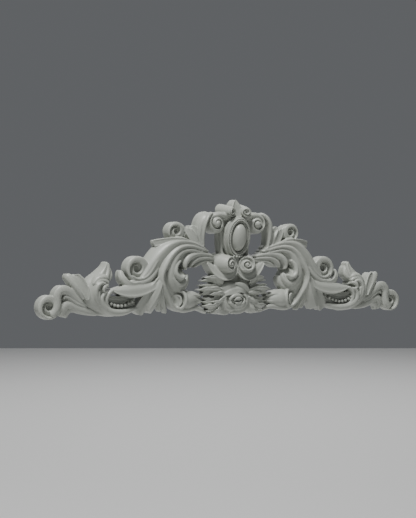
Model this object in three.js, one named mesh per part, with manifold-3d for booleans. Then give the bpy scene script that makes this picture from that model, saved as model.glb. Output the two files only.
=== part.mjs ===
// Carved onlay: a pierced spray of scrolls and leaves around an oval cabochon.
// Millimetres, +Z up. The back lies flat in the plane Y = 0 and the face looks along -Y.
// The origin is on the back, behind the cartouche.

import * as THREE from 'three';
import * as BufferGeometryUtils from 'three/addons/utils/BufferGeometryUtils.js';
import Module from 'manifold-3d';

const wasm = await Module();
wasm.setup();

// Overall size of the casting
const LENGTH = 600;
const HEIGHT = 165;
const DEPTH = 36;

// The carving is drawn on a sheet of this size, then stretched to the overall size
const SHEET_LENGTH = 600;
const SHEET_HEIGHT = 165;
const SHEET_DEPTH = 36;

// Oval cabochon and the frame round it
const CABOCHON_Z = 30.5;
const CABOCHON_HALF_WIDTH = 12.4;
const CABOCHON_HALF_HEIGHT = 20.4;
const CABOCHON_CROWN = 5.8;
const FRAME_WIDTH = 12;
const FRAME_TOP = 28;
const CARTOUCHE_LEAN = 0.17;

// Row of beads in each husk
const BEAD_COUNT = 8;
const BEAD_RADIUS = 2.5;
const BEAD_TOP = 22;
const BEAD_FALL = 4;

// Heart of the rose
const ROSE_X = 1;
const ROSE_Z = -57;
const ROSE_TOP = 22;

// Every solid starts this far behind the back plane and is cut off flat there
const BURIED = 3;

// Points of the finished casting closer than this become one
const SMALLEST_EDGE = 0.02;

// Extra half width of a lobe at its foot, so that its sides slope
const DRAFT = 0.5;

// Point of the sheet as a point of the casting, to the nearest micrometre
function place([x, z, y]) {
  const point = [(x * LENGTH) / SHEET_LENGTH, (-y * DEPTH) / SHEET_DEPTH, (z * HEIGHT) / SHEET_HEIGHT];
  return point.map((value) => Math.round(value * 1000) / 1000);
}

// Geometry with the points that lie within the tolerance made one. Faces left without area go,
// and so do two faces that lie back to back.
function weld(geometry, tolerance) {
  const merged = BufferGeometryUtils.mergeVertices(geometry, tolerance);
  const faces = new Map();
  for (let i = 0; i < merged.index.count; i += 3) {
    const face = [0, 1, 2].map((corner) => merged.index.getX(i + corner));
    const corners = [...new Set(face)].sort((a, b) => a - b);
    const name = corners.join();
    if (corners.length === 3 && !faces.delete(name)) faces.set(name, face);
  }
  merged.setIndex([...faces.values()].flat());
  return merged;
}

// Closed solid skinned over rows of points. Each row runs round the solid, and the first and
// the last row have all their points in one place, which closes the ends.
function shell(rows, { wrap = true } = {}) {
  const count = rows[0].length;
  const geometry = new THREE.BufferGeometry();
  geometry.setAttribute('position', new THREE.Float32BufferAttribute(rows.flat().flatMap(place), 3));
  const corners = [];
  for (let row = 0; row < rows.length - 1; row += 1) {
    for (let column = 0; column < (wrap ? count : count - 1); column += 1) {
      const a = row * count + column;
      const b = row * count + ((column + 1) % count);
      corners.push([a, b + count, b], [a, a + count, b + count]);
    }
  }
  geometry.setIndex(corners.flat());
  const welded = weld(geometry, 1e-4);
  return new wasm.Manifold(new wasm.Mesh({
    numProp: 3,
    vertProperties: new Float32Array(welded.attributes.position.array),
    triVerts: new Uint32Array(welded.index.array),
  }));
}

// Lobe: a ridge or trough swept along a smooth line. Each row is [x, z, half width, height].
// left and right raise or lower its two edges, seen along the line.
function lobe(rows, { left = -3, right = -3, steps = rows.length - 1, across = 2 } = {}) {
  const line = new THREE.SplineCurve(rows.map(([x, z]) => new THREE.Vector2(x, z)));
  const size = new THREE.SplineCurve(rows.map(([, , half, top]) => new THREE.Vector2(half, top)));
  const sections = [];
  for (let step = 0; step <= steps; step += 1) {
    const u = step / steps;
    const { x, y: z } = line.getPoint(u);
    const { x: half, y: top } = size.getPoint(u);
    const way = line.getTangent(u);
    const before = Math.max(0, u - 0.5 / steps);
    const after = Math.min(1, u + 0.5 / steps);
    const turn = line.getTangent(before).cross(line.getTangent(after));
    const bend = line.getPoint(before).distanceTo(line.getPoint(after)) / Math.max(1e-6, Math.abs(turn));
    // Towards the inside of a bend the section stops short of the centre of the bend
    const put = (t, y) => {
      const reach = t * turn > 0 ? Math.min(half * Math.abs(t), 0.9 * bend) : half * Math.abs(t);
      const aside = Math.sign(t) * reach;
      return [x - way.y * aside, z + way.x * aside, y];
    };
    const crown = Array.from({ length: across + 1 }, (_, i) => {
      const t = (2 * i) / across - 1;
      return put(t, top + (t < 0 ? right : left) * t * t);
    });
    sections.push([put(0, -BURIED), put(-1 - DRAFT / half, -BURIED), ...crown, put(1 + DRAFT / half, -BURIED)]);
  }
  const cap = (section) => section.map(() => section[0]);
  return shell([cap(sections[0]), ...sections, cap(sections[steps])]);
}

// Stack: a boss made of ovals one above the other. Each row is [x, z, half width, half height, y].
// lean tips the ovals forward with their height.
function stack(rows, { sides = 12, lean = 0 } = {}) {
  const oval = ([x, z, wide, tall, y]) => Array.from({ length: sides }, (_, i) => {
    const angle = (-2 * Math.PI * i) / sides;
    const rise = tall * Math.sin(angle);
    return [x + wide * Math.cos(angle), z + rise, y < 0 ? y : y + lean * rise];
  });
  const ends = (row) => oval([row[0], row[1], 0, 0, row[4]]);
  return shell([ends(rows[0]), ...rows.map(oval), ends(rows[rows.length - 1])]);
}

// Boss of round section: a drum with a domed face
function boss(x, z, radius, shoulder, crown, { sides = 10 } = {}) {
  return stack([
    [x, z, radius + DRAFT, radius + DRAFT, -BURIED],
    [x, z, radius, radius, shoulder],
    [x, z, 0.6 * radius, 0.6 * radius, shoulder + 0.8 * (crown - shoulder)],
    [x, z, 0, 0, crown],
  ], { sides });
}

// Volute: a round boss whose face winds inwards as a spiral band and rises to a domed eye.
// turns is negative where it runs clockwise, from is the angle at which the band starts, and
// flare widens the foot and moves it away from the middle.
function volute({ x, z, radius, eye, dome = 0.5, from, turns, edge, crown, groove, flare = 0, sides = 9 }) {
  const pitch = (radius - eye) / Math.abs(turns);
  const hand = Math.sign(turns);
  const ringsPerTurn = 2;
  const point = (reach, share, y, shift = 0) => {
    const angle = THREE.MathUtils.degToRad(from) - share * 2 * Math.PI;
    return [x + shift + reach * Math.cos(angle), z + reach * Math.sin(angle), y];
  };
  const row = (make) => Array.from({ length: sides + 1 }, (_, j) => make(j / sides));
  const face = (i) => row((share) => {
    const wound = i / ringsPerTurn + hand * share;
    const reach = THREE.MathUtils.clamp(radius - pitch * wound, eye, radius);
    const band = (radius - reach) / pitch - hand * share;
    const rise = edge + (crown - edge) * (1 - (reach / radius) ** 2);
    const sunk = reach > eye ? groove * (0.5 + 0.5 * Math.cos(2 * Math.PI * band)) : 0;
    return point(reach, share, reach > eye ? rise - sunk : crown);
  });
  const rows = [
    row(() => [x + flare, z, -BURIED]),
    row((share) => point(radius + DRAFT + flare, share, -BURIED, flare)),
  ];
  for (let i = -ringsPerTurn; i <= ringsPerTurn * (Math.abs(turns) + 1); i += 1) rows.push(face(i));
  rows.push(row((share) => point(0.6 * eye, share, crown + 0.7 * dome)));
  rows.push(row(() => [x, z, crown + dome]));
  return shell(rows, { wrap: false });
}

// Spray: a leaf with pointed tips round one root. Each tip is [x, z], in order round the root.
function spray(root, top, tips, { edge = top - 5, depth = 0.8 } = {}) {
  const loop = tips.flatMap(([x, z], i) => {
    const [nextX, nextZ] = tips[(i + 1) % tips.length];
    const valley = [(x + nextX) / 2, (z + nextZ) / 2];
    return [
      [x, z, edge],
      [root[0] + depth * (valley[0] - root[0]), root[1] + depth * (valley[1] - root[1]), edge - 1],
    ];
  });
  const level = (y) => loop.map(() => [...root, y]);
  return shell([level(-BURIED), loop.map(([x, z]) => [x, z, -BURIED]), loop, level(top)]);
}

// The same solid on the other side of the middle
function mirrored(solid) {
  const { vertProperties, triVerts } = solid.getMesh();
  const swapped = [0, 1, -1];
  return new wasm.Manifold(new wasm.Mesh({
    numProp: 3,
    vertProperties: vertProperties.map((value, i) => (i % 3 === 0 ? -value : value)),
    triVerts: triVerts.map((_, i) => triVerts[i + swapped[i % 3]]),
  }));
}

// Solids of the middle, which are not repeated

function cartouche() {
  const ring = (grow, y) => [
    0, CABOCHON_Z, CABOCHON_HALF_WIDTH + grow, CABOCHON_HALF_HEIGHT + 0.7 * grow, y,
  ];
  return stack([
    ring(FRAME_WIDTH - 1, -BURIED),
    ring(FRAME_WIDTH, FRAME_TOP - 5),
    ring(0.6 * FRAME_WIDTH, FRAME_TOP - 1),
    ring(0.35 * FRAME_WIDTH, FRAME_TOP),
    ring(0.15 * FRAME_WIDTH, FRAME_TOP),
    ring(0, FRAME_TOP - 3),
    ring(-0.25 * CABOCHON_HALF_WIDTH, FRAME_TOP + 0.6 * CABOCHON_CROWN),
    ring(-0.7 * CABOCHON_HALF_WIDTH, FRAME_TOP + CABOCHON_CROWN),
  ], { sides: 14, lean: CARTOUCHE_LEAN });
}

// Ground behind the cartouche and the rose
function spine() {
  return lobe([[0, 62, 8, 16], [0, 34, 16, 16], [0, 4, 20, 16], [0, -20, 12, 14], [0, -40, 16, 10]],
    { left: -2, right: -2 });
}

function crestLeaf() {
  return lobe([[0, 54, 6, 21], [0, 66, 8, 21], [0, 76, 7, 18.5], [0, 85, 1, 12]],
    { left: 3, right: 3, across: 4 });
}

function rose() {
  return [
    // Upper petals, folded over one another
    lobe([[-31, -50, 2, 14], [-18, -42, 6, 19], [-3, -34, 3, 20]], { left: -1, right: 2 }),
    lobe([[-4, -36, 2, 21], [10, -38, 5, 21], [23, -48, 3, 17]], { left: 1, right: -2 }),
    lobe([[-22, -51, 2, 18], [-4, -44, 5, 21], [14, -48, 3, 19]], { left: 0, right: 1 }),
    // Petals on the left
    lobe([[-20, -50, 4, 18], [-21, -61, 5, 20], [-6, -68, 3, 19]], { left: 1, right: -3 }),
    lobe([[-29, -52, 5, 13], [-29, -67, 6, 14], [-13, -75, 3, 13]], { left: 0, right: -3 }),
    // Petals on the right
    lobe([[14, -50, 3, 20], [15, -62, 4, 20], [-3, -72, 3, 17]], { left: -2, right: 0 }),
    lobe([[20, -50, 3, 16], [21, -67, 4, 15], [0, -77, 3, 12]], { left: -3, right: 0 }),
    volute({
      x: ROSE_X, z: ROSE_Z, radius: 13, eye: 3, from: 200, turns: -1.5,
      edge: ROSE_TOP - 4, crown: ROSE_TOP, groove: 3,
    }),
  ];
}

// Solids of the right side, which are repeated on the left

function crestRoll() {
  return [
    stack([[12, 70, 10.5, 10, -BURIED], [12, 70, 10, 9.5, 12], [11, 68, 7.5, 7.5, 25],
      [10.5, 66.5, 5, 5, 28], [10.5, 66.5, 2, 2, 25]], { sides: 8 }),
  ];
}

// Roll below the cartouche, with the plate that curls round it
function lowerRoll() {
  return [
    volute({
      x: 13, z: -8, radius: 13, eye: 2.5, from: 30, turns: 1.75, edge: 20, crown: 29, groove: 3, flare: 3,
    }),
    lobe([[2, -10, 3, 16], [8, -21, 5, 19], [20, -24.5, 5.5, 20], [34, -18.5, 5.5, 19], [47, -5, 4, 17]],
      { left: -3, right: 2 }),
  ];
}

function sideBand() {
  return [
    lobe([[18, 55, 3, 17], [26, 38, 3, 20], [26, 14, 3.5, 18], [20, 4, 4, 17]], { left: 1, right: 1 }),
  ];
}

function upperVolute() {
  return [
    volute({
      x: 32, z: 50, radius: 14.5, eye: 8, dome: 5, from: 110, turns: -1, edge: 21, crown: 25, groove: 3,
    }),
    lobe([[5, 57, 3, 20], [18, 60.5, 3.5, 23], [34, 62, 3, 23]], { left: -2, right: 0 }),
  ];
}

function tallLeaf() {
  return [
    lobe([[54, 10, 4, 15], [59.5, 30, 4.5, 17], [59, 49, 5, 19], [49, 61, 4.5, 21], [36, 63, 2.5, 21]],
      { left: 7, right: -9, steps: 5 }),
  ];
}

function leaflets() {
  return [
    lobe([[56, 13, 3.5, 19], [62, 31, 6, 18], [71, 47, 4, 15]], { left: -3, right: 1 }),
    lobe([[60, 13, 3, 19], [71, 27, 5, 18], [80, 42, 3.5, 15]], { left: -3, right: 1 }),
    lobe([[90, 24, 4, 20], [112, 24, 5.5, 15], [130, 21.5, 5, 9]], { left: -2, right: 1 }),
  ];
}

function middleVolute() {
  return [
    lobe([[58, 12, 3, 19], [72, 22, 3, 20], [88, 27, 4, 20], [98, 29, 4, 18]], { left: 1, right: -3 }),
    volute({
      x: 96, z: 38, radius: 11.5, eye: 3, from: -100, turns: 1.5, edge: 17, crown: 19, groove: 4,
    }),
  ];
}

function sheath() {
  return [
    lobe([[48, 17, 3, 18], [65, 22.5, 3.5, 20], [82, 25, 4, 22], [98, 23, 6, 23], [112, 16, 8, 22],
      [124, 4, 10, 21], [134, -10, 10, 20], [143, -23, 7, 19]], { left: -11, right: 3, steps: 6 }),
    volute({
      x: 155.5, z: -14, radius: 17, eye: 5, from: 195, turns: 1.25, edge: 17, crown: 21, groove: 6,
    }),
  ];
}

function innerScroll() {
  return [
    // Fronds side by side, from the middle round to the foot
    lobe([[42, 10, 3, 18], [80, 19, 3, 24], [108, 6, 3.5, 25], [119, -22, 3.5, 25], [113, -50, 2.5, 22]],
      { left: -3, right: -3, steps: 6 }),
    lobe([[46, 6, 3, 18], [77, 13, 4, 22], [101, 3, 4, 23], [112, -22, 4, 23], [104, -48, 3, 18]],
      { left: -2, right: -2, steps: 5 }),
    // Comma that ends in a ball
    lobe([[78, 7, 3, 18], [90, 3, 6, 21], [98, -8, 10, 23], [98, -22, 14, 25], [94, -34, 12, 22]],
      { left: -5, right: -6, across: 4 }),
    boss(92, -30, 15, 14, 25),
    // Fingers over the opening
    lobe([[36, 5, 2, 16], [60, 4, 5, 19], [84, -11, 1.5, 19]], { left: -2, right: -2 }),
    lobe([[38, -3, 2, 16], [55, -4, 3, 17], [75, -13, 1, 17]], { left: -1, right: -1, steps: 2 }),
  ];
}

function hangingLeaf() {
  return [
    lobe([[118, -22, 4, 22], [126, -50, 7, 25], [146, -76, 7, 16]], { left: 1, right: -5 }),
    lobe([[124, -24, 4, 22], [143, -50, 7, 22], [158, -77, 7, 14]], { left: -3, right: -1 }),
    lobe([[116, -40, 4, 18], [118, -54, 5, 16], [126, -64, 1.5, 10]], { left: -2, right: -2, steps: 2 }),
    // Tongue that covers the top of the husk
    lobe([[121, -27, 3, 20], [138, -40, 7, 21], [163, -45, 9, 22], [187, -43, 5, 22], [197, -41, 1, 21]],
      { left: -6, right: 4 }),
    lobe([[148, -32, 5, 20], [166, -34, 6, 19], [178, -16, 3, 12]], { left: 2, right: -3 }),
  ];
}

function footLeaf() {
  return [
    lobe([[118, -42, 3.5, 22], [111, -60, 6, 21], [92, -68.5, 7, 19], [64, -67, 7, 15], [40, -73, 3, 12]],
      { left: 2, right: -4, steps: 5 }),
    lobe([[108, -46, 3, 17], [92, -57, 8, 16], [66, -55, 7, 9], [54, -54, 3, 7]], { left: 2, right: -2 }),
    lobe([[119, -44, 2.5, 18], [117, -60, 3, 15], [109, -74, 2, 10]], { left: -2, right: -2, steps: 2 }),
  ];
}

// Serrated leaves that fill the corners beside the rose
function sprays() {
  return [
    spray([34, -38], 16, [[30, -27], [41, -26], [50, -30], [57, -36], [53, -45], [30, -47]]),
    spray([36, -56], 16, [[29, -44], [51, -44], [59, -51], [50, -60], [49, -68], [41, -74], [32, -77]]),
    lobe([[8, -30, 8, 12], [26, -36, 10, 12], [30, -60, 12, 11]], {}),
  ];
}

function husk() {
  const beads = Array.from({ length: BEAD_COUNT }, (_, i) => {
    const share = i / (BEAD_COUNT - 1);
    const x = 164 + 38 * share;
    const z = -58 - 6 * Math.sin(Math.PI * share);
    const top = BEAD_TOP - BEAD_FALL * (1 - share);
    return stack([[x, z, BEAD_RADIUS, BEAD_RADIUS, top - 4 * BEAD_RADIUS],
      [x, z, BEAD_RADIUS, BEAD_RADIUS, top - BEAD_RADIUS], [x, z, 0, 0, top]], { sides: 5 });
  });
  return [
    ...beads,
    // Tray under the beads and the lip below them
    lobe([[160, -58, 7, 13], [184, -60, 9, 14], [208, -56, 7, 16]], { left: 0, right: 0, steps: 2 }),
    lobe([[162, -66, 2.5, 15], [185, -72, 3.5, 21], [207, -68, 4, 25], [214, -56, 3.5, 26], [208, -44, 2.5, 25]],
      { left: 1, right: -4, steps: 5 }),
    // Fold at the mouth
    lobe([[198, -41, 2.5, 24], [206, -54, 2.8, 25], [201, -68, 2, 22]], { left: -1, right: -2, steps: 2 }),
    // Hood with its eye
    lobe([[204, -39, 3, 24], [211, -33.5, 3, 27], [220, -37, 3.2, 28], [224, -48, 3.5, 28],
      [220, -60, 3.5, 26], [208, -70, 2.5, 22]], { left: 1, right: -2, steps: 5 }),
    // Brow over the hood
    lobe([[199, -38, 3, 20], [205, -27, 4, 23], [222, -29, 4, 22], [228, -42, 3.5, 20]], { left: -3, right: 0 }),
    // Belly behind the folds, drawn up into an ear
    lobe([[203, -3, 2.5, 9], [208, -14, 7, 15], [217, -28, 13, 20], [224, -46, 13, 22], [213, -66, 7, 19],
      [188, -73, 3, 14]], { left: -9, right: 0, steps: 5 }),
    lobe([[206, -30, 5, 18], [200, -18, 4, 15], [201, -7, 2.5, 10]], { left: 2, right: 1 }),
    // Leaf behind, in two flutes
    lobe([[234, -54, 3, 19], [240, -34, 7, 18], [248, -21, 4.5, 14]], { left: -6, right: 2, steps: 2 }),
    lobe([[240, -52, 2, 20], [249, -36, 4, 19], [257, -20, 2, 14]], { left: 2, right: -2, steps: 2 }),
  ];
}

function endVolute() {
  return [
    lobe([[228, -60, 5, 14], [244, -54, 6, 14], [260, -43, 6, 15], [270, -51, 5.5, 15], [274, -70, 5, 16]],
      { left: 1, right: -3, steps: 4 }),
    volute({
      x: 283.5, z: -63.5, radius: 16, eye: 4.5, from: 190, turns: 1.25, edge: 17, crown: 19, groove: 5,
    }),
    // Spur below
    lobe([[212, -71, 3, 15], [232, -68, 4.5, 14], [254, -62.5, 5, 13], [261, -79, 2, 8]], { left: 1, right: -1 }),
    lobe([[232, -60, 7, 10], [264, -52, 6, 11]], { steps: 1 }),
  ];
}

function joined(solids) {
  return solids.reduce((whole, solid) => whole.add(solid));
}

// Block that takes away everything behind the back plane
function behindTheBack() {
  const reach = SHEET_LENGTH;
  const level = (size, y) => [[-size, size, y], [size, size, y], [size, -size, y], [-size, -size, y]];
  return shell([level(0, -2 * BURIED), level(reach, -2 * BURIED), level(reach, 0), level(0, 0)]);
}

function geometryOf(solid) {
  const mesh = solid.getMesh();
  const geometry = new THREE.BufferGeometry();
  geometry.setAttribute('position', new THREE.BufferAttribute(mesh.vertProperties, 3));
  geometry.setIndex(new THREE.BufferAttribute(mesh.triVerts, 1));
  return weld(geometry, SMALLEST_EDGE);
}

const side = joined([
  crestRoll, lowerRoll, sideBand, upperVolute, tallLeaf, leaflets, middleVolute, sheath, innerScroll,
  hangingLeaf, footLeaf, sprays, husk, endVolute,
].flatMap((make) => make()));
const middle = joined([cartouche(), spine(), crestLeaf(), ...rose()]);
const casting = middle.add(side).add(mirrored(side)).subtract(behindTheBack());

const paint = new THREE.MeshStandardMaterial({ color: 0xa3a69d, roughness: 0.55, metalness: 0 });
const onlay = new THREE.Mesh(geometryOf(casting), paint);
onlay.name = 'onlay';

const group = new THREE.Group();
group.add(onlay);

export default group;
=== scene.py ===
# Carved onlay of mirrored acanthus scrolls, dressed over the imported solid

import math

import bpy
import numpy as np
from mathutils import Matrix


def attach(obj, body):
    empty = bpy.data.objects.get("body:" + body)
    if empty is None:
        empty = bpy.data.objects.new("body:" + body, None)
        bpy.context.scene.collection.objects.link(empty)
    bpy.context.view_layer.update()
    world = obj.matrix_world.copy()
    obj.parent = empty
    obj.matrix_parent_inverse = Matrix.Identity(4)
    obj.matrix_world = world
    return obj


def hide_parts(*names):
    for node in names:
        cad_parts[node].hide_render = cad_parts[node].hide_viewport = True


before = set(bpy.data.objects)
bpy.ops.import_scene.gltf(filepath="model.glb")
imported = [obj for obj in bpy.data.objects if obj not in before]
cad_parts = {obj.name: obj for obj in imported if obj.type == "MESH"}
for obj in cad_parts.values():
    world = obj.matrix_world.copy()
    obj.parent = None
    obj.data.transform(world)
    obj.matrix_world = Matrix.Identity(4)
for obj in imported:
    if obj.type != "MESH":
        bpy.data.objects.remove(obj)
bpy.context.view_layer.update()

# The carving is drawn in millimetres: x to the right, z up, and a height out of the wall
METRES = 0.001

# Fineness of the carving, its voxel in metres
VOXEL = 0.0006
SMOOTH_FACTOR = 0.5
SMOOTH_ROUNDS = 2
TRIANGLES = 185000

# A lobe's line: samples that measure it, millimetres from row to row, points across a row
LINE_SAMPLES = 400
ROW_STEP = 1.0
ACROSS = 30
LEAST_ROWS = 10
LEAST_HALF = 0.25
LEAST_HEIGHT = 0.3
LEAST_END = 0.12
RIM_PLACE = 0.8
RIM_WIDTH = 0.13
KEEL_WIDTH = 0.18
WALL_SHARE = 0.6
BEND_LIMIT = 0.9

# A volute's rows: levels up its wall, millimetres from ring to ring of its face
WALL_LEVELS = 12
FACE_STEP = 0.42
FACE_EDGE = 0.15
FACE_CENTRE = 0.1
WALL_BULGE = 0.12
# Shares of a turn, or of the eye, over which the winding band rises, falls, starts and ends
BAND_RISE = 0.75
BAND_FALL = 0.14
BAND_START = 0.35
EYE_BLEND = 0.45
# The winding stops at this share of the eye
EYE_LEAST = 0.6
FALL_POWER = 0.7

DOME_LEVELS = 8
DOME_TIP = 0.02

CABOCHON_Z = 30.5
CABOCHON_HALF_WIDTH = 12.4
CABOCHON_HALF_HEIGHT = 20.4
CABOCHON_BASE = 23.5
CABOCHON_RISE = 11
CABOCHON_LEVELS = 13
CABOCHON_FIT = 0.96
CABOCHON_FULLNESS = 0.85
# The frame grows more in height than in width, up to a limit
FRAME_STRETCH = 1.15
FRAME_TALLEST = 8.6
FRAME_SIDES = 120
CARTOUCHE_LEAN = 0.17

# Rings round the cabochon: how far out they run beside and above it, and the height of their tops
PEARL_COUNT = 58
PEARL_RADIUS = 1.2
PEARL_OUT = (3.2, 3.9)
PEARL_TOP = 28.3
PEARL_BASE = 25
ROPE_COUNT = 84
ROPE_RADIUS = 1.25
ROPE_OUT = (7.9, 8.6)
ROPE_TOP = 21
ROPE_BASE = 15
RING_SAMPLES = 721
SMALL_SIDES = 12

# The row of beads in the mouth of each husk
BEAD_COUNT = 8
BEAD_RADIUS = 2.4
BEAD_START = (164.5, -57.5, 18.5)
BEAD_RUN = 38.5
BEAD_SAG = 6
BEAD_CLIMB = 4
BEAD_BASE = 12
BEAD_SIDES = 20

# Camera, worked out from the slab's edges in the photo
CAMERA_PLACE = (-0.8541, -1.4167, 0)
CAMERA_TURN = math.radians(30)
FOCAL_PIXELS = 1149
PHOTO_PIXELS = 518
SENSOR = 36

FLOOR_DROP = -0.75
FLOOR_REACH = 8.0
FLOOR_TONES = ((0.74, 0.74, 0.73, 1), (0.80, 0.80, 0.79, 1))
PAINT_TONES = ((0.305, 0.320, 0.285, 1), (0.350, 0.364, 0.326, 1))
WORLD_COLOUR = (0.75, 0.78, 0.82, 1)
WORLD_STRENGTH = 0.16
LAMPS = [
    # Name, place, target, size and power
    ("key", (-1.0, -0.8, 2.4), (0, 0, 0), 0.7, 120),
    ("fill", (-0.9, -2.6, 0.4), (0, 0, 0), 2.0, 5),
    ("sweep", (2.2, 3.8, 2.2), (2.2, 3.8, 0), 5.0, 95),
]


def smooth_line(rows, shares):
    """Rows read off a smooth curve through all of them, at shares from 0 to 1 of its course."""
    rows = np.array(rows, float)
    last = len(rows) - 1
    place = np.clip(shares, 0, 1) * last
    first = np.minimum(place.astype(int), last - 1)
    w = (place - first)[:, None]
    before = rows[np.maximum(first - 1, 0)]
    start = rows[first]
    end = rows[first + 1]
    after = rows[np.minimum(first + 2, last)]
    pull = (end - before) / 2
    push = (after - start) / 2
    cubic = 2 * start - 2 * end + pull + push
    square = 3 * end - 3 * start - 2 * pull - push
    return cubic * w**3 + square * w**2 + pull * w + start


def shell(grid):
    """Closed mesh over rows of points: each row runs round the solid, and the ends are fanned shut."""
    rows, count, _ = grid.shape
    points = np.vstack([grid[0].mean(0), grid.reshape(-1, 3), grid[-1].mean(0)])
    side = np.arange(count)
    turned = (side + 1) % count
    start = np.arange(rows - 1)[:, None] * count + 1
    a = (start + side).ravel()
    b = (start + turned).ravel()
    first_fan = np.stack([np.zeros(count, int), turned + 1, side + 1], 1)
    last = (rows - 1) * count + 1
    end = np.full(count, len(points) - 1)
    last_fan = np.stack([end, last + side, last + turned], 1)
    lower = np.stack([a, b, b + count], 1)
    upper = np.stack([a, b + count, a + count], 1)
    return points, np.vstack([lower, upper, first_fan, last_fan])


def lobe(rows, left=-3.0, right=-3.0, curve=2.0, soft=2.2, flutes=0, depth=1.0, rim=0.0, keel=0.0,
         tuck=0.6, ends=(2.5, 2.5), wave=None):
    """Leaf or fold over a line of rows, each with its x, z, half width and height. left and right
    are the heights of its edges over the line, curve says how late it bends to them, and soft
    rounds them. rim and keel are raised lines near the edges and along the middle, tuck is how
    far the foot of the walls is drawn in, ends is how far the two ends are rounded, and wave
    gives the number and the depth of its scallops."""
    rows = np.array(rows, float)
    samples = np.linspace(0, 1, LINE_SAMPLES)
    fine = smooth_line(rows[:, :2], samples)
    run = np.concatenate([[0], np.cumsum(np.linalg.norm(np.diff(fine, axis=0), axis=1))])
    length = run[-1]
    steps = max(LEAST_ROWS, int(length / ROW_STEP))
    done = np.linspace(0, length, steps + 1)
    x, z, half, top = smooth_line(rows, np.interp(done, run, samples)).T
    way = np.gradient(np.stack([x, z], 1), axis=0)
    way /= np.linalg.norm(way, axis=1)[:, None] + 1e-9
    bend = np.gradient(np.unwrap(np.arctan2(way[:, 1], way[:, 0])), done)[:, None]
    half = np.maximum(half, LEAST_HALF)
    if wave:
        count, amount = wave
        half = half * (1 - amount * (0.5 + 0.5 * np.cos(2 * math.pi * count * done / length)))
    for distance, reach in ((done, ends[0]), (length - done, ends[1])):
        if reach > 0:
            near = np.clip(distance / reach, 0, 1)
            shape = np.sqrt(np.clip(1 - (1 - near) ** 2, 0, 1))
            half = half * np.maximum(shape, LEAST_END)
            top = top - np.minimum(soft, reach) * (1 - shape)

    # Height across the face
    t = np.sin(np.linspace(-math.pi / 2, math.pi / 2, ACROSS + 1))
    size = np.abs(t)
    crown = np.where(t < 0, right, left) * size**curve
    edge_line = np.exp(-(((size - RIM_PLACE) / RIM_WIDTH) ** 2))
    middle_line = np.exp(-((t / KEEL_WIDTH) ** 2))
    crown = crown + rim * edge_line + keel * middle_line
    if flutes:
        crown = crown - depth * (0.5 - 0.5 * np.cos(2 * math.pi * (flutes * (t + 1) / 2))) * (1 - size**6)
    half = half[:, None]
    soften = np.minimum(soft, half) * (1 - np.sqrt(1 - t**2))
    heights = np.maximum(top[:, None] + crown - soften, LEAST_HEIGHT)

    # Walls down to the back on both sides of it
    inner = np.minimum(tuck, 0.4 * half)
    ground = np.zeros_like(half)
    across = np.hstack([-half + 0.5 * inner, -half + inner, half * t, half - inner, half - 0.5 * inner])
    high = np.hstack([ground, WALL_SHARE * heights[:, :1], heights, WALL_SHARE * heights[:, -1:], ground])
    # Points on the inside of a sharp bend stop short of its centre
    limit = BEND_LIMIT / np.maximum(np.abs(bend), 1e-6)
    reach = np.where(across * bend > 0, np.minimum(np.abs(across), limit), np.abs(across))
    across = np.sign(across) * reach
    return shell(np.stack([x[:, None] - way[:, 1:] * across, z[:, None] + way[:, :1] * across, high], 2))


def stack(rows, sides=48, lean=0.0):
    """Solid of ovals one over another, each with its x, z, half width, half height and level."""
    angle = -np.linspace(0, 2 * math.pi, sides, endpoint=False)
    grid = []
    for x, z, wide, tall, y in rows:
        rise = tall * np.sin(angle)
        level = np.full(sides, y) + (lean * rise if y > 0 else 0)
        grid.append(np.stack([x + wide * np.cos(angle), z + rise, level], 1))
    return shell(np.array(grid))


def dome(x, z, radius, top, base=0.0, tall=None, squash=1.0, sides=36):
    """Round knob whose upper part is half an egg."""
    tall = tall or radius
    lift = radius * squash
    rows = [[x, z, radius, tall, base]]
    for step in range(DOME_LEVELS + 1):
        angle = step / DOME_LEVELS * math.pi / 2
        share = max(math.cos(angle), DOME_TIP)
        rows.append([x, z, radius * share, tall * share, top - lift + lift * math.sin(angle)])
    return stack(rows, sides=sides)


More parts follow.
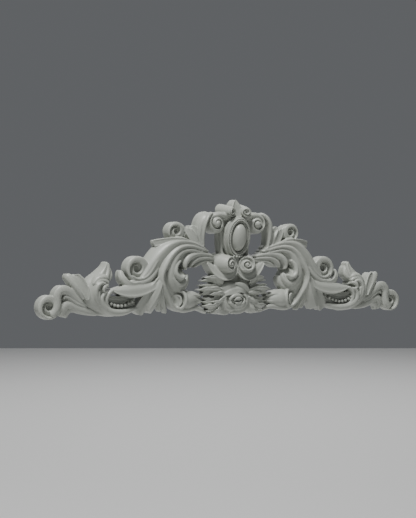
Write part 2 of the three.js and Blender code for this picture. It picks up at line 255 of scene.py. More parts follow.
def volute(x, z, radius, eye, turns, start, edge, crown, groove, foot=(0, 0, 0.5), knob=0.0, width=1.6,
           soft=2.5, ribs=0, tilt=0.0, step=False, sides=120):
    """Round boss whose face winds inwards from the angle start. edge and crown are the heights of
    its face, at the edge and in the middle. A stepped band rises to its inner edge and falls off
    there; any other is cut by a rounded groove. knob is the height of the eye over the bowl,
    foot is how far the foot of the wall is shifted and how much wider it is, and tilt, in
    degrees, leans the face towards the middle of the onlay."""
    hand = 1 if turns > 0 else -1
    turns = abs(turns)
    angle = -np.linspace(0, 2 * math.pi, sides, endpoint=False)
    wound = np.mod((angle - math.radians(start)) * hand / (2 * math.pi), 1)
    fall = math.log(radius / eye)

    def height(reach):
        high = edge + (crown - edge) * (1 - (reach / radius) ** 2)
        inward = turns * math.log(radius / max(reach, EYE_LEAST * eye)) / fall
        band = inward - wound
        if step:
            share = np.mod(band, 1)
            rise = np.sin(np.clip(share / BAND_RISE, 0, 1) * math.pi / 2)
            line = 1 - rise * np.clip((1 - share) / BAND_FALL, 0, 1) ** FALL_POWER
        else:
            near = np.abs(band - np.round(band))
            line = np.where(band > -0.5, np.cos(math.pi * near) ** (2 * width), 0)
        line = line * np.clip(inward / BAND_START, 0, 1)
        high = high - groove * line
        if reach < eye:
            share = reach / eye
            bowl = crown - groove + knob * math.sqrt(max(0, 1 - share**2))
            blend = np.clip((1 - share) / EYE_BLEND, 0, 1)
            high = high * (1 - blend) + bowl * blend
        near_edge = np.clip((radius - reach) / soft, 0, 1)
        return high - soft * (1 - np.sqrt(1 - (1 - near_edge) ** 2))

    def circle(cx, cz, reach, high):
        return np.stack([cx + reach * np.cos(angle), cz + reach * np.sin(angle), high], 1)

    grid = []
    rim = height(radius)
    for level in range(WALL_LEVELS + 1):
        share = level / WALL_LEVELS
        reach = radius + foot[2] * (1 - share)
        if foot[2] > 1:
            bulge = WALL_BULGE * math.sin(math.pi * share)
            if ribs:
                bulge += WALL_BULGE * abs(math.sin(math.pi * ribs * share))
            reach += bulge * min(foot[2], 4)
        grid.append(circle(x + foot[0] * (1 - share), z + foot[1] * (1 - share), reach, rim * share))
    for reach in np.arange(radius - FACE_EDGE, FACE_CENTRE, -FACE_STEP):
        grid.append(circle(x, z, reach, height(reach)))
    grid = np.array(grid)
    lift = math.tan(math.radians(tilt)) * (grid[..., 0] - x) * grid[..., 2] / crown
    grid[..., 2] = np.maximum(grid[..., 2] + lift, 0)
    return shell(grid)


def cartouche():
    # The frame's profile from the wall to the cabochon: width beyond it, and height
    profile = [
        (12, 0), (12, 8), (11.4, 10), (10.3, 10.8), (9.3, 10.2), (9.0, 12), (9.1, 16.5), (8.7, 18.6),
        (7.9, 19.4), (7.0, 18.6), (6.6, 20), (6.4, 24), (6.2, 26), (5.8, 27.2), (5.2, 27.5), (4.7, 26.8),
        (4.4, 26.0), (2.0, 26.0), (1.6, 27.0), (1.1, 27.1), (0.7, 25.5), (0.45, 21.5), (-0.2, 21),
        (-0.5, 23),
    ]
    rows = []
    for grow, high in profile:
        tall = CABOCHON_HALF_HEIGHT + min(FRAME_STRETCH * grow, FRAME_TALLEST)
        rows.append([0, CABOCHON_Z, CABOCHON_HALF_WIDTH + grow, tall, high])
    for step in range(1, CABOCHON_LEVELS + 1):
        angle = step / CABOCHON_LEVELS * math.pi / 2
        share = max(0.01, CABOCHON_FIT * math.cos(angle) ** CABOCHON_FULLNESS)
        rows.append([0, CABOCHON_Z, CABOCHON_HALF_WIDTH * share, CABOCHON_HALF_HEIGHT * share,
                     CABOCHON_BASE + CABOCHON_RISE * math.sin(angle)])
    return stack(rows, sides=FRAME_SIDES, lean=CARTOUCHE_LEAN)


def ring(angles, out, radius, top, base):
    """Small pearls at the given angles round the cabochon, on the slant of the cartouche."""
    wide = CABOCHON_HALF_WIDTH + out[0]
    tall = CABOCHON_HALF_HEIGHT + out[1]
    solids = []
    for angle in angles:
        z = tall * math.sin(angle)
        lean = CARTOUCHE_LEAN * z
        solids.append(dome(wide * math.cos(angle), CABOCHON_Z + z, radius, top + lean, base=base + lean,
                           sides=SMALL_SIDES))
    return solids


def pearls():
    """The ring beside the cabochon, evenly spaced along the oval."""
    around = np.linspace(0, 2 * math.pi, RING_SAMPLES)
    wide = (CABOCHON_HALF_WIDTH + PEARL_OUT[0]) * np.cos(around)
    tall = (CABOCHON_HALF_HEIGHT + PEARL_OUT[1]) * np.sin(around)
    gone = np.concatenate([[0], np.cumsum(np.hypot(np.diff(wide), np.diff(tall)))])
    angles = [np.interp((i + 0.5) / PEARL_COUNT * gone[-1], gone, around) for i in range(PEARL_COUNT)]
    return ring(angles, PEARL_OUT, PEARL_RADIUS, PEARL_TOP, PEARL_BASE)


def rope():
    """Smaller pearls on the lower step of the frame."""
    angles = [2 * math.pi * (i + 0.5) / ROPE_COUNT for i in range(ROPE_COUNT)]
    return ring(angles, ROPE_OUT, ROPE_RADIUS, ROPE_TOP, ROPE_BASE)


def middle():
    return [
        cartouche(),
        *rope(),
        lobe([[0, 60, 8, 13], [0, 34, 14, 12], [0, 4, 18, 13], [0, -20, 12, 12], [0, -42, 16, 9]],
             -2, -2),
        # Crest leaf with raised edges
        lobe([[0, 53, 4.5, 22], [0.2, 61, 7, 21], [0, 69, 8.4, 19.5], [-0.4, 77, 6.4, 18],
              [0, 84.7, 0.8, 15.5]], 1.5, 1.8, rim=1.0, soft=1.2, ends=(2, 1.5)),
        *rose(),
    ]


def rose():
    petal = {"soft": 1.2, "tuck": 1.3}
    return [
        dome(-1, -59, 25, 17.4, squash=0.3, tall=17),
        # Outer petals
        lobe([[-30, -50, 2, 15], [-23, -43.5, 6, 18.5], [-13, -38.5, 6.6, 20.8], [-2.5, -35, 2.5, 21]],
             left=-4.5, right=0.8, soft=1.2, tuck=1.5),
        lobe([[-5, -35, 2, 21], [3, -37, 4, 23], [12, -40.5, 4.6, 22.6], [20, -46.5, 3.2, 19.8],
              [24, -53, 1.4, 17.5]], left=1, right=-4, soft=1.2, tuck=1.2),
        lobe([[-27, -52, 2.5, 16], [-29.5, -61, 6, 17], [-26, -69.5, 6.6, 16.5],
              [-17.5, -74.5, 5.6, 15], [-8, -76.5, 2.5, 13]], left=1.4, right=-2, soft=1.3,
             rim=0.8),
        lobe([[15, -49, 1.4, 18.6], [22, -54.5, 2.6, 18.8], [23.6, -62, 3, 18],
              [19, -70.4, 3.2, 16.8], [9, -75.6, 3, 15], [-5, -77, 1.6, 12.6]], left=-2.6, right=1,
             **petal),
        # Middle petals
        lobe([[-25, -52.5, 1.6, 18], [-15, -47.2, 4.6, 21.8], [-3, -43.2, 5.2, 23.6],
              [7, -44, 4.4, 23], [15.5, -48.6, 2, 20]], left=-4, right=1.8, soft=1.2, tuck=1.5),
        lobe([[-17, -52, 1.6, 19.5], [-20.4, -58, 3, 20.6], [-18, -65.6, 3.4, 20.4],
              [-11, -71, 3.2, 19.4], [-2, -73, 1.6, 17.6]], left=1, right=-2.8, **petal),
        lobe([[8, -49.6, 1.4, 21.6], [14.6, -52.6, 2.4, 22], [17.6, -59.4, 2.8, 21.8],
              [14, -66.6, 2.8, 20.6], [5, -70.8, 2.6, 19.2], [-5, -71, 1.2, 17.8]], left=-2.8,
             right=1, **petal),
        # Heart
        dome(-0.6, -59.8, 17, 20.4, squash=0.3, tall=12.5),
        lobe([[-12.6, -60, 1.2, 22], [-10.6, -54.4, 2.2, 24.2], [-3.4, -50.8, 2.5, 25.6],
              [4.6, -51.6, 2.2, 25], [9.6, -55.8, 1.2, 23]], left=-2.6, right=0.8, **petal),
        lobe([[11, -55, 1.2, 23], [11.4, -60.6, 2.2, 24], [6.6, -65.6, 2.5, 24],
              [-1, -67.2, 2.4, 23], [-7.6, -65.4, 1.2, 21.6]], left=-2.6, right=0.8, **petal),
        lobe([[-11.6, -58.6, 1.2, 22], [-11, -63.4, 2, 22.8], [-5.6, -66, 1.6, 22.4]], left=0.8,
             right=-2.4, **petal),
        lobe([[-6.6, -60, 1, 23.6], [-3.4, -55.8, 1.7, 26], [2.2, -55.2, 1.7, 26.2],
              [6.2, -58.6, 1, 24.6]], left=-2, right=0.6, soft=1),
        lobe([[6.4, -58.4, 1, 24], [4, -62.2, 1.7, 25], [-2, -62.8, 1.6, 24.6],
              [-5.4, -60.6, 0.9, 23.6]], left=-2, right=0.6, soft=1),
        lobe([[-2.6, -58.4, 1, 24.6], [0.4, -57.8, 1.3, 25.6], [3.2, -59.4, 0.9, 24.4]], -1, -1,
             soft=0.9),
    ]


def crest_roll():
    return [
        volute(11.6, 66.6, 6.8, 2.8, -1.0, 60, 28.6, 30, 4.2, foot=(4.4, 3.4, 2.2),
               soft=1.7, width=1.1, tilt=22),
    ]


def lower_roll():
    return [
        volute(13, -7.6, 11.4, 2.6, -1.6, 230, 28, 30.5, 4.4, foot=(12.5, 2.4, 3.0),
               knob=4, soft=1.8, ribs=7, width=0.9, tilt=20),
        # Plate that curls round the roll
        lobe([[1.0, -8, 1.6, 20], [3.2, -17, 4.0, 21.5], [12, -23.8, 5.6, 21.5],
              [24, -23.4, 6.6, 21], [36, -15, 6.4, 18.8], [46.5, -4, 3, 16.8]], left=-3.6,
             right=2.6, rim=0.9, soft=1.6),
        lobe([[34, 1, 3, 14], [42, -4, 4, 15], [48, -3, 2, 15]], left=-1, right=-1),
        lobe([[2, 4, 4, 19], [2, -8, 4, 20], [3, -20, 3, 16]], left=-1, right=-1),
    ]


def side_band():
    return [
        lobe([[13, 58, 2, 15], [19.5, 51, 2.2, 15], [21.6, 38, 2.2, 14.5], [21.9, 24, 2.2, 14],
              [21, 11, 2.4, 15], [18, 3, 3, 16]], left=-1, right=-2, soft=1.4),
        lobe([[19, 54, 1.5, 10], [23.6, 44, 1.8, 9.5], [24.4, 30, 1.8, 9], [23.8, 15, 2, 9.5],
              [21, 6, 2.5, 11]], left=-1, right=-1, soft=1.2),
        # Small beads below the cabochon
        dome(2.2, 3.4, 1.9, 25.0, base=14),
        dome(6.2, 4.6, 1.5, 24.6, base=14),
    ]


def upper_volute():
    return [
        volute(33.2, 50.4, 14.4, 5.6, -1.0, 150, 21, 26, 6.5, foot=(-0.7, 0.6, 0.8),
               knob=7.5, soft=3.4, tilt=8, step=True),
        # Band that comes over from the cartouche
        lobe([[5, 58.6, 2.4, 19.5], [14, 60.4, 3.6, 22], [23, 62.2, 4.2, 23.4],
              [32, 62.4, 4.2, 23.6], [40.5, 59.2, 3.4, 22], [45.4, 53, 2.4, 20]], left=-2.2,
             right=-0.8, soft=2.2),
        lobe([[12, 55, 1.4, 18.5], [18, 57, 2.4, 20.5], [24, 56.5, 1.8, 21]], left=-1, right=-1,
             soft=1.4),
    ]


def tall_leaf():
    return [
        # Inner rim over a steep wall
        lobe([[48.6, 6, 2, 16], [53.4, 17, 2.2, 19], [55.6, 30, 2.4, 22.5], [55.2, 43, 2.6, 25.5],
              [52.6, 53.5, 2.8, 26.8], [47.4, 61.2, 3, 25], [39.4, 65.3, 1.8, 21.5]], left=-1,
             right=-4, soft=1.8),
        # Blade that slopes away outside it
        lobe([[52.5, 8, 3.4, 15], [57.6, 21, 4.6, 18], [60, 36, 5.4, 20.5], [58, 49, 5.8, 22],
              [52.5, 59, 5.6, 21.6], [44, 65, 3.6, 19]], left=-0.5, right=-8, curve=1.6, soft=1.6),
    ]


def leaflets():
    return [
        lobe([[55, 10, 3, 19], [59.5, 23, 5.2, 19], [65.5, 36, 6.4, 17.6], [72.5, 46.5, 5.2, 15]],
             left=1.2, right=0.8, curve=2.4, rim=0.7, soft=1.5, tuck=1.2, ends=(1, 4)),
        lobe([[62, 24, 1.2, 19.6], [66.5, 34, 2.1, 20.6], [73, 43, 1.6, 18]], -1.5, -1.5, soft=1.3),
        lobe([[57, 9, 2.4, 19.5], [65, 21, 4.4, 19.5], [73, 31.5, 5.2, 18], [80.5, 43.5, 3.8, 15]],
             left=1.2, right=1, curve=2.4, rim=0.7, soft=1.4, tuck=1.2, ends=(1, 4)),
        # Ground between the leaflets and the scroll
        lobe([[50, 12, 5, 15], [66, 25, 6, 15.5], [80, 33, 6, 14]], -2, -2),
        # Blunt leaf that stands out over the sheath
        lobe([[82, 26.3, 2.2, 22.4], [97, 26, 4, 21], [113, 24.3, 5, 16.5], [128.5, 21.6, 5.2, 10]],
             left=0.8, right=1.4, curve=2.6, rim=0.7, soft=1.2, tuck=1.5, ends=(3, 0.5)),
    ]


def middle_volute():
    return [
        lobe([[56, 12, 1.8, 19.5], [68, 18.6, 2.8, 21.5], [79, 23.4, 3.4, 22], [89, 26.6, 4, 21],
              [99, 28.5, 3.4, 19.5]], left=1, right=-3.4, soft=2),
        volute(95.8, 38.6, 13.2, 4.2, 1.0, -110, 18.5, 16, 5.5, foot=(0.4, -0.4, 0.2),
               soft=4.5, knob=-1, step=True),
        lobe([[83.5, 30, 2, 15.5], [80.8, 37, 2.6, 15.5], [83.8, 45, 2.4, 15], [90.5, 50, 1.6, 14]],
             left=-2, right=-2, soft=1.6),
    ]


def sheath():
    return [
        # Broad outer leaf
        lobe([[48, 14, 2.4, 18.5], [64, 20.6, 3.4, 21.6], [80, 24.2, 4.4, 23],
              [95, 24.2, 6.2, 23.4], [108.6, 18.6, 8.8, 22.8], [120.5, 8, 10.6, 21.8],
              [131.5, -4.8, 10.8, 20.6], [141.5, -17.5, 9, 19.5], [150, -26, 5.5, 18.5]],
             left=-12.5, right=-0.6, curve=1.7, soft=2.2, ends=(2, 0)),
        # Fold that runs into the volute
        lobe([[120, 7, 1.2, 20.4], [127.5, -3, 2.6, 21.4], [134.5, -14, 3, 21],
              [141.5, -22.5, 2.6, 20.4], [149.5, -26.6, 2.2, 19.8], [158, -26.4, 1.8, 19.2],
              [165, -22, 1.2, 18.6]], left=-2.4, right=-0.6, soft=1.8, ends=(8, 8)),
        volute(155.3, -13.6, 17.6, 6, 0.95, 200, 19.5, 15, 6.4, foot=(0.4, 0, 0.4),
               knob=-1.5, soft=5.5, step=True),
        # Band that runs beneath the volute
        lobe([[124, -9, 3, 19.6], [131.5, -21, 4.4, 20.4], [143, -30, 4.8, 20.2],
              [156, -33, 4.4, 19.4], [168, -30.4, 3.4, 18]], left=-1, right=-2.4, soft=2.2,
             ends=(5, 4)),
        # Ground between the band and the ridge
        lobe([[112, 4, 5, 15], [121, -10, 6, 15.5], [130, -28, 7, 15], [148, -34, 6, 14]], -1, -1),
    ]


def inner_scroll():
    return [
        # Ground under the folds
        lobe([[40, 4, 5, 13], [62, 8, 7, 16], [82, 10, 9, 18.5], [98, 0, 10, 20], [108, -16, 9, 20],
              [108, -34, 9, 19], [100, -50, 8, 16]], -1, -1),
        # Ridge that runs down into the foot
        lobe([[44, 11, 2, 17.5], [56, 13.6, 2.6, 20.5], [68, 16.8, 3, 22.6], [80, 18.2, 3.4, 24],
              [92.6, 15.6, 4, 24.8], [104, 7, 4.8, 25.2], [113, -5, 5.4, 25.8],
              [120, -17.8, 4.8, 26.2], [121.6, -28, 4.4, 26], [117.4, -40, 4.2, 25],
              [111.4, -50, 4, 23], [105.4, -60, 3.8, 21], [97.5, -68, 3.4, 19], [87, -72, 2.6, 17]],
             left=-3.6, right=-3, curve=1.8, soft=2.2, ends=(2, 3)),
        # Smooth swelling beside it
        lobe([[45, 6.8, 2, 17], [57, 9, 2.6, 20], [69, 11.6, 3.2, 22], [80, 12, 3.8, 23],
              [90.4, 8.6, 4.8, 23.6], [98.4, 0.4, 6.2, 24], [103.6, -10.6, 7.2, 24.4],
              [105.4, -23, 7.6, 24.2], [101.6, -34.6, 7.6, 22.6], [92.5, -40.5, 6, 19.6],
              [83, -39, 4, 16.5]], left=-1.6, right=-3.4, curve=2, soft=2.6, ends=(2, 5)),
        # Ball with the ends of the folds
        dome(94.6, -28.6, 17.4, 21.5, squash=0.85, tall=17.2),
        lobe([[108, -33, 2.5, 22.5], [101.5, -40.6, 3.6, 20], [92.5, -43.6, 4, 18],
              [83.4, -40.4, 4, 16.6], [77.6, -32.6, 3.4, 15.5], [76.6, -24, 2, 14.5]], left=-3,
             right=0.6, soft=2),
        lobe([[106, -25, 2.4, 24.6], [100.4, -33, 3.4, 24.2], [92.6, -36.4, 3.8, 23],
              [84.8, -33.6, 3.6, 21.6], [80.2, -27, 2.8, 20], [80, -20.6, 1.6, 18.8]], left=-2.6,
             right=0.6, soft=1.8),
        lobe([[91, -1, 2.2, 22.5], [98.6, -9, 3.6, 25.2], [100.6, -18, 3.8, 26.6],
              [96.4, -24.6, 3.8, 27], [89.6, -26, 3.2, 26.2], [85.4, -22, 2.2, 24.8]], left=-2.4,
             right=-2, soft=2),
        # Fingers over the opening
        lobe([[34, 3.6, 2.6, 16], [48, 6.4, 3.2, 18.5], [62, 7, 4.2, 21], [74.6, 3.8, 5, 23],
              [82.4, -3.6, 4.8, 23.6], [83.8, -11, 3.4, 22.4], [80.8, -15, 2, 20.8]], left=-2,
             right=-2.2, soft=2.4, tuck=1.5, ends=(9, 4)),
        lobe([[34, 0.2, 2.2, 15.5], [48, 1.6, 3, 18], [61, 0.6, 3.8, 19.6], [70.4, -4.8, 3.8, 20.2],
              [75, -12.4, 2, 18.8]], left=-1.5, right=-2, keel=0.4, soft=2, tuck=1.2, ends=(8, 5)),
        lobe([[34, -3.4, 1.8, 14.5], [48, -3.2, 2.6, 16.5], [59.5, -6.4, 2.8, 17.4],
              [68, -12, 1.4, 16]], left=-1.5, right=-1.5, keel=0.4, soft=1.7, tuck=1.2,
             ends=(8, 5)),
        lobe([[34, -1.6, 4, 12.5], [48, -1, 5, 14], [60, -1.6, 5, 15.5], [72, -4, 4, 16]], -1, -1),
    ]


def hanging_leaf():
    return [
        # Two broad flutes that hang from the node
        lobe([[119.5, -22, 3.4, 23], [123.5, -38, 6.4, 24.6], [130.6, -55, 8.4, 23],
              [140.5, -72.6, 8, 17]], left=-0.5, right=-6, curve=1.7, soft=1.8, keel=0.8, tuck=1.6,
             ends=(2, 2.5)),
        lobe([[123, -25, 3.4, 22.5], [133.5, -41, 6.2, 22.6], [145, -57, 8, 20],
              [155.6, -74.6, 8, 14]], left=0.4, right=0.9, curve=2.5, soft=1.8, flutes=1, depth=1.6,
             tuck=1.6, ends=(2, 2.5)),
        lobe([[118, -40, 3, 20.4], [116.8, -53, 4.2, 18], [113.4, -64, 3.8, 15],
              [109, -75.5, 2, 11]], left=-1, right=-2, keel=1, soft=1.6, ends=(2, 2)),
        lobe([[121, -52, 3, 17], [120.5, -63, 3.4, 14], [118, -73, 2, 10.5]], -1.5, -1.5, keel=0.8,
             soft=1.5, ends=(2, 2)),
        # Tongue that covers the top of the husk
        lobe([[121, -28, 3, 21.5], [133, -36, 6, 22], [148, -41, 8.4, 22.2], [163, -43, 9.4, 22.3],
              [177, -43.4, 7.8, 22.6], [189, -42.5, 4.4, 22.6], [197.8, -40.5, 1.2, 21.6]], left=-5,
             right=1.8, curve=2, rim=0.8, soft=1.6, tuck=1.8, ends=(2, 4)),
        # Small wing that curls out under the volute
        lobe([[150, -34, 4, 19], [162, -36.3, 4.6, 19.5], [172.5, -33.3, 5, 19],
              [178.8, -25, 4.4, 17], [179, -15, 2.4, 12]], left=2.0, right=-3, soft=1.6, tuck=1.2,
             ends=(2, 3)),
    ]


def foot_leaf():
    return [
        lobe([[80, -57, 12, 11], [96, -56, 12, 14], [112, -50, 8, 15]], 0, 0),
        # Cup of the leaf, open to the outside
        lobe([[85.5, -57.5, 13.4, 22.8], [77, -57.6, 13.8, 22.6], [68.5, -58, 11.8, 19.6],
              [60, -58.5, 8.4, 14.5], [52, -58, 3.6, 10.5]], left=-8, right=-8, curve=2.4, soft=2,
             ends=(0.4, 4)),
        lobe([[94, -46, 2, 17], [88, -45.4, 2.2, 20.6], [84.4, -50.6, 2.4, 23.6],
              [83.8, -58.6, 2.5, 24.6], [86.4, -65.8, 2.5, 22.6], [92, -70, 2.2, 19.8]], left=-0.6,
             right=-0.8, soft=1.6, ends=(3, 3)),
        # Folds inside the cup
        lobe([[101, -49, 4.4, 17], [94.6, -54, 5, 18], [92.6, -61, 5, 18], [95, -67.6, 4, 17.5]],
             left=-2, right=-1.4, soft=2.2, ends=(4, 4)),
        lobe([[97, -49.6, 1.5, 19], [91.4, -53, 1.8, 20.8], [90, -59.4, 1.8, 21],
              [92.6, -65.6, 1.4, 20]], left=-1, right=-1, soft=1.3, ends=(5, 5)),
        # Tips that point towards the rose
        lobe([[80, -50.5, 5, 19.6], [68, -50.5, 5.2, 17], [53, -52.2, 1.4, 12.5]], -2.5, -3,
             keel=0.8, soft=1.5, ends=(3, 3)),
        lobe([[80, -60, 5, 21.4], [69, -61.5, 4.8, 17.8], [54, -60.8, 1.6, 12.5]], -3, -2.5,
             keel=0.8, soft=1.5, ends=(3, 3)),
        # Lower edge
        lobe([[98, -68, 3, 19.5], [86, -71, 4, 18.5], [74, -70, 4, 16.8], [63, -68.6, 3.6, 15],
              [54, -71.5, 3, 13], [44, -76.8, 1.6, 10]], left=-2.4, right=0, soft=1.9, tuck=1.2,
             ends=(3, 3)),
    ]


def sprays():
    blade = {"rim": 0.7, "keel": 0.4, "soft": 0.8, "tuck": 1, "ends": (2, 2), "wave": (2, 0.35)}
    clusters = [
        # Bow, then the root, tip, half width and height of each blade
        (0.14, [
            ((19, -33), (38, -24.6), 3.6, 16.6), ((25, -38.6), (54.6, -31), 3.8, 15.8),
            ((22, -35.4), (49, -26.4), 4.8, 19.4),
        ]),
        (0.04, [
            ((25, -41.6), (57, -37.4), 3.8, 15.6), ((27, -48.6), (57.4, -50), 4, 15.2),
            ((22, -45), (60.4, -43.6), 5.2, 19.4), ((20, -49), (44, -50.6), 3.6, 21),
        ]),
        (-0.14, [
            ((24, -52), (53.6, -54.8), 4.4, 15.4), ((25, -56), (55, -60), 4, 14.6),
            ((25, -62.6), (47.6, -73), 4.2, 16), ((20, -64), (31, -78.4), 3.6, 15.6),
            ((22, -58), (53.6, -66), 5, 19), ((22, -63), (39.6, -77), 4.4, 18.2),
            ((19, -54), (41, -60.4), 3.6, 21),
        ]),
    ]
    solids = [lobe([[8, -30, 8, 13], [22, -35, 9, 12], [33, -46, 12, 10.4], [32, -62, 11, 10]], -2, -2)]
    for bow, blades in clusters:
        for (x, z), (tip_x, tip_z), half, top in blades:
            mid_x = (x + tip_x) / 2 - bow * (tip_z - z)
            mid_z = (z + tip_z) / 2 + bow * (tip_x - x)
            root = [x, z, 0.7 * half, top - 1]
            middle_row = [mid_x, mid_z, half, top + 0.8]
            tip = [tip_x, tip_z, 0.8, top - 3]
            solids.append(lobe([root, middle_row, tip], 0.8, -4, **blade))
    return solids


def beads():
    x, z, top = BEAD_START
    solids = []
    for i in range(BEAD_COUNT):
        share = i / (BEAD_COUNT - 1)
        solids.append(dome(x + BEAD_RUN * share, z - BEAD_SAG * math.sin(math.pi * share), BEAD_RADIUS,
                           top + BEAD_CLIMB * share, base=BEAD_BASE, sides=BEAD_SIDES))
    return solids


def husk():
    return [
        # Tray under the beads
        lobe([[158, -57, 9, 12.4], [184, -60, 10, 13.8], [207, -56, 8, 16.6]], 1, 0, ends=(0, 2),
             flutes=5, depth=1),
        lobe([[160, -57.5, 2.4, 13.8], [172, -60.8, 2.6, 14.4], [184, -63, 2.6, 15.2],
              [196, -60.8, 2.6, 16.4], [205, -57, 2.4, 17.6]], -0.6, -0.6, soft=1.5),
        # Lower lip, which rises into the mouth
        lobe([[150, -66, 2.4, 14.5], [160, -68, 3.4, 16.5], [172, -71, 4.4, 19],
              [185, -72.4, 4.8, 21.5], [198, -70.6, 4.8, 23.5], [207.5, -65, 4.6, 25],
              [212.4, -56.5, 4, 26], [211, -48.5, 3.2, 26], [204, -42.5, 2, 25]], left=-0.8,
             right=-4, soft=2.2, tuck=1.4, ends=(3, 3)),
        # Folds at the mouth
        lobe([[194.5, -41.5, 2, 23.6], [201, -45.5, 3, 25.2], [205, -53, 3, 25],
              [203.4, -61, 2.4, 23.4], [197.6, -66.4, 1.6, 21]], -1.2, -1.6, soft=1.8, tuck=1.2),
        # Hood that curls round a dark eye
        lobe([[199.6, -38.4, 1.2, 18.6], [203, -35.6, 2.6, 24.4], [208.4, -37, 3, 27],
              [210.4, -41.5, 2.4, 26.8], [207, -45, 1.8, 26]], -1.2, -1.5, soft=1.9, ends=(5, 3)),
        lobe([[206, -33.5, 2, 25.4], [213, -32, 3.2, 27.2], [219, -36, 4, 27.8],
              [221.4, -44, 4.2, 27.4], [219.6, -53, 4, 26], [213.5, -63, 3, 23.6]], left=-4.5,
             right=-2.4, curve=2.6, soft=2.2, tuck=1.2),
        lobe([[216.6, -42, 1.8, 26.3], [216.8, -51, 2.4, 26], [211.6, -60, 1.8, 24.4]], -1, -1,
             soft=1.6),
        # Brow over the hood, in two soft creases
        lobe([[199, -31.4, 1.2, 17], [202, -27.4, 3.4, 21.6], [208, -24.4, 4.4, 24],
              [217, -26.2, 4.4, 24], [225, -34.5, 3.4, 23.4]], left=-4, right=-0.8, soft=2.4,
             ends=(6, 4)),
        lobe([[200.5, -32.6, 2, 23], [207.5, -29, 2.6, 24.8], [215.5, -29.2, 2.6, 25.2],
              [222, -35, 1.8, 25]], -1, -1.2, soft=1.7),
        # Belly behind the folds, drawn up into an ear
        lobe([[200.8, -3.6, 2, 14.8], [204.4, -12, 3.8, 16.8], [211.8, -24, 8.6, 20],
              [221, -38, 13.6, 22.6], [222.5, -53, 13.4, 22.5], [213, -66, 8.8, 20],
              [199, -73, 4.8, 16.5], [182, -75.5, 2.2, 13.5]], left=-8.5, right=0, curve=1.9,
             soft=2.2, ends=(1.2, 6)),
        # Folds of the ear
        lobe([[206, -29, 3.4, 22], [201.6, -21, 3.4, 20], [199.4, -12.5, 2.8, 17.4],
              [199.8, -5, 2, 15.6]], left=-0.5, right=-2, soft=1.9, tuck=1.2, ends=(2, 1.2)),
        lobe([[199.6, -29, 3, 18.6], [196.2, -22.4, 3.8, 17], [196.2, -15, 3, 14.5],
              [198, -10, 1.6, 13]], left=-2, right=0.5, soft=1.8, ends=(2, 3)),
        # Leaf behind, hollow between raised edges
        lobe([[231.5, -55, 2.4, 20], [235, -42.5, 6, 19], [241.6, -30.6, 7.6, 17.2],
              [248.4, -21.6, 5.8, 14]], left=2.4, right=2, curve=2.2, rim=1.2, soft=1.5, tuck=1.5,
             ends=(2, 4)),
        lobe([[236, -54, 2.2, 19], [244, -40.6, 4.6, 19.4], [252, -28.6, 5.8, 17],
              [258.4, -20, 4.4, 12.5]], left=-0.6, right=-2.6, curve=2, soft=2, tuck=1.2,
             ends=(2, 4)),
    ]


def end_volute():
    return [
        # Strap that drops into the volute
        lobe([[226, -62, 3, 16], [238, -58, 4.6, 16.8], [248.5, -50, 5.6, 17.5],
              [257.5, -42.6, 6.2, 18.4], [266, -41, 6.6, 18.6], [271.8, -47.4, 6.4, 18.4],
              [271.8, -57, 5.8, 18], [274, -67, 5.4, 18], [281, -75.5, 4.4, 17.5]], left=0,
             right=-2.6, curve=2, soft=2.8, ends=(3, 3)),
        volute(283.4, -63.4, 16.1, 5, 1.0, 180, 18.5, 14, 6, foot=(0, 0, 0.1), knob=-1, soft=5.6, step=True),
        # Fold in the bend of the strap
        lobe([[230, -64.4, 1.6, 16], [243, -59.4, 2.4, 16.6], [253.4, -52.6, 2.6, 16.6],
              [260.6, -49.6, 2.4, 16.4], [264, -53.6, 1.8, 15.6]], left=-1, right=-2, soft=1.4,
             ends=(3, 3)),
        # Fill behind the strap
        lobe([[228, -63, 7, 13], [246, -59, 8, 12.5], [264, -54, 6, 11]], -1, -1, ends=(2, 2)),
        # Spur below, in two flutes
        lobe([[204, -73.3, 2, 15.5], [219, -71.4, 4, 16.2], [235, -67, 5, 16],
              [248, -61.6, 5.4, 15.6], [258, -59.6, 5.6, 15.6], [263.4, -66.6, 5, 14.5],
              [262.6, -77, 3, 10]], left=-1.6, right=0, soft=2, tuck=1, ends=(3, 2)),
        lobe([[214, -74.6, 2, 13.5], [232, -71.4, 3.4, 13.5], [246, -67.4, 3.8, 13.5],
              [254, -67.4, 4, 13.5], [257.8, -72.4, 3.6, 12], [257.6, -78, 2.2, 9.5]], left=-1,
             right=-1, soft=1.8, ends=(3, 2)),
    ]


SIDE_PARTS = [
    crest_roll, lower_roll, side_band, upper_volute, tall_leaf, leaflets, middle_volute, sheath,
    inner_scroll, hanging_leaf, foot_leaf, sprays, husk, end_volute,
]


def gathered(solids, sides):
    """All solids as one set of points and faces, those of the sides mirrored too."""
    points = []
    faces = []
    count = 0
    for solid, hands in [(solid, (1,)) for solid in solids] + [(solid, (1, -1)) for solid in sides]:
        place, corners = solid
        for hand in hands:
            points.append(place * [hand, 1, 1])
            faces.append((corners if hand > 0 else corners[:, ::-1]) + count)
            count += len(place)
    place = np.vstack(points)
    return np.stack([place[:, 0], -place[:, 2], place[:, 1]], 1) * METRES, np.vstack(faces)


def linked(name, data):
    piece = bpy.data.objects.new(name, data)
    bpy.context.scene.collection.objects.link(piece)
    return piece


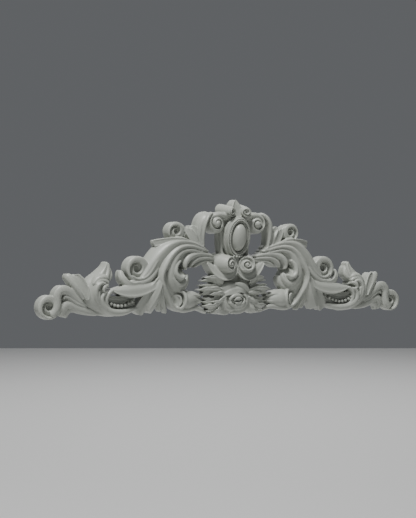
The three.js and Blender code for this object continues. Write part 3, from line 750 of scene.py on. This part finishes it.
def onlay():
    """One skin over all the solids, smoothed a little and thinned."""
    points, faces = gathered(middle(), [solid for part in SIDE_PARTS for solid in part()])
    mesh = bpy.data.meshes.new("onlay_carving")
    mesh.from_pydata(points, [], faces)
    mesh.validate()
    rough = linked("onlay_rough", mesh)
    remesh = rough.modifiers.new("remesh", "REMESH")
    remesh.mode = "VOXEL"
    remesh.voxel_size = VOXEL * 1
    remesh.use_smooth_shade = True
    smooth = rough.modifiers.new("smooth", "SMOOTH")
    smooth.factor = SMOOTH_FACTOR
    smooth.iterations = SMOOTH_ROUNDS
    thin = rough.modifiers.new("thin", "DECIMATE")

    # The skin is counted before it is thinned; its faces have four corners
    deps = bpy.context.evaluated_depsgraph_get()
    thin.show_viewport = False
    deps.update()
    dense = len(rough.evaluated_get(deps).data.polygons) * 2
    thin.ratio = min(1.0, TRIANGLES / dense)
    thin.show_viewport = True
    deps.update()
    final = bpy.data.meshes.new_from_object(rough.evaluated_get(deps))
    final.name = "onlay_carving_mesh"
    carving = linked("onlay_carving", final)
    bpy.data.objects.remove(rough)

    # Nothing stands out behind the flat back
    places = np.empty(3 * len(final.vertices))
    final.vertices.foreach_get("co", places)
    places[1::3] = np.minimum(places[1::3], 0)
    final.vertices.foreach_set("co", places)
    final.shade_smooth()
    return carving


def round_beads():
    points, faces = gathered(pearls(), beads())
    mesh = bpy.data.meshes.new("onlay_beads")
    mesh.from_pydata(points, [], faces)
    mesh.shade_smooth()
    return linked("onlay_beads", mesh)


def new_material(name, roughness):
    material = bpy.data.materials.new(name)
    material.use_nodes = True
    shader = material.node_tree.nodes["Principled BSDF"]
    shader.inputs["Roughness"].default_value = roughness
    return material, material.node_tree.nodes, material.node_tree.links, shader


def noise(nodes, scale, detail):
    cloud = nodes.new("ShaderNodeTexNoise")
    cloud.inputs["Scale"].default_value = scale
    cloud.inputs["Detail"].default_value = detail
    return cloud


def tones(nodes, colours, places=(0, 1)):
    ramp = nodes.new("ShaderNodeValToRGB")
    for element, colour, place in zip(ramp.color_ramp.elements, colours, places):
        element.position = place
        element.color = colour
    return ramp


def paint():
    """Satin paint, cloudy in tone, with a fine grain; painted shade darkens it in the hollows and a painted
    highlight lightens its ridges.
    """
    material, nodes, links, shader = new_material("paint", 0.42)
    shader.inputs["Specular IOR Level"].default_value = 0.45
    where = nodes.new("ShaderNodeTexCoord")
    cloud = noise(nodes, scale=14, detail=4)
    links.new(where.outputs["Object"], cloud.inputs["Vector"])
    tone = tones(nodes, PAINT_TONES, (0.3, 0.7))
    links.new(cloud.outputs["Fac"], tone.inputs["Fac"])

    # Painted shade and highlight: the colour is scaled darker where the mesh is hollow and lighter where it
    # is pointed
    shape = nodes.new("ShaderNodeNewGeometry")
    painted_shade_and_highlight = nodes.new("ShaderNodeMapRange")
    painted_shade_and_highlight.inputs["From Min"].default_value = 0.40
    painted_shade_and_highlight.inputs["From Max"].default_value = 0.60
    painted_shade_and_highlight.inputs["To Min"].default_value = 0.80
    painted_shade_and_highlight.inputs["To Max"].default_value = 1.12
    links.new(shape.outputs["Pointiness"], painted_shade_and_highlight.inputs["Value"])
    shade = nodes.new("ShaderNodeVectorMath")
    shade.operation = "SCALE"
    links.new(tone.outputs["Color"], shade.inputs[0])
    links.new(painted_shade_and_highlight.outputs["Result"], shade.inputs["Scale"])
    links.new(shade.outputs["Vector"], shader.inputs["Base Color"])

    grain = noise(nodes, scale=900, detail=3)
    links.new(where.outputs["Object"], grain.inputs["Vector"])
    bump = nodes.new("ShaderNodeBump")
    bump.inputs["Strength"].default_value = 0.12
    bump.inputs["Distance"].default_value = 0.0003
    links.new(grain.outputs["Fac"], bump.inputs["Height"])
    links.new(bump.outputs["Normal"], shader.inputs["Normal"])
    return material


def floor_material():
    material, nodes, links, shader = new_material("floor", 0.8)
    cloud = noise(nodes, scale=3, detail=2)
    tone = tones(nodes, FLOOR_TONES)
    links.new(cloud.outputs["Fac"], tone.inputs["Fac"])
    links.new(tone.outputs["Color"], shader.inputs["Base Color"])
    return material


def floor():
    """Square floor below the onlay, turned with the camera so that its far edge looks level."""
    signs = [(-1, -1), (1, -1), (1, 1), (-1, 1)]
    mesh = bpy.data.meshes.new("floor")
    mesh.from_pydata([(x * FLOOR_REACH, y * FLOOR_REACH, FLOOR_DROP) for x, y in signs], [], [(0, 1, 2, 3)])
    piece = linked("floor", mesh)
    piece.rotation_euler = (0, 0, -CAMERA_TURN)
    mesh.materials.append(floor_material())
    return piece


def lamp(name, place, target, size, power):
    light = bpy.data.lights.new(name, "AREA")
    light.shape = "DISK"
    light.size = size
    light.energy = power
    piece = linked(name, light)
    piece.location = place
    way = np.array(target) - np.array(place)
    yaw = math.atan2(way[0], way[1])
    pitch = math.atan2(way[2], math.hypot(way[0], way[1]))
    piece.rotation_euler = (math.pi / 2 + pitch, 0, -yaw)


def camera():
    lens = bpy.data.cameras.new("camera")
    lens.sensor_width = SENSOR
    lens.lens = SENSOR * FOCAL_PIXELS / PHOTO_PIXELS
    piece = linked("camera", lens)
    piece.location = CAMERA_PLACE
    piece.rotation_euler = (math.pi / 2, 0, -CAMERA_TURN)
    bpy.context.scene.camera = piece


camera()
finish = paint()
for piece in (onlay(), round_beads()):
    piece.data.materials.clear()
    piece.data.materials.append(finish)
    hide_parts("onlay")
    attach(piece, "root")
floor()

world = bpy.data.worlds.new("world")
world.use_nodes = True
background = world.node_tree.nodes["Background"]
background.inputs["Color"].default_value = WORLD_COLOUR
background.inputs["Strength"].default_value = WORLD_STRENGTH
bpy.context.scene.world = world
for name, place, target, size, power in LAMPS:
    lamp(name, place, target, size, power)
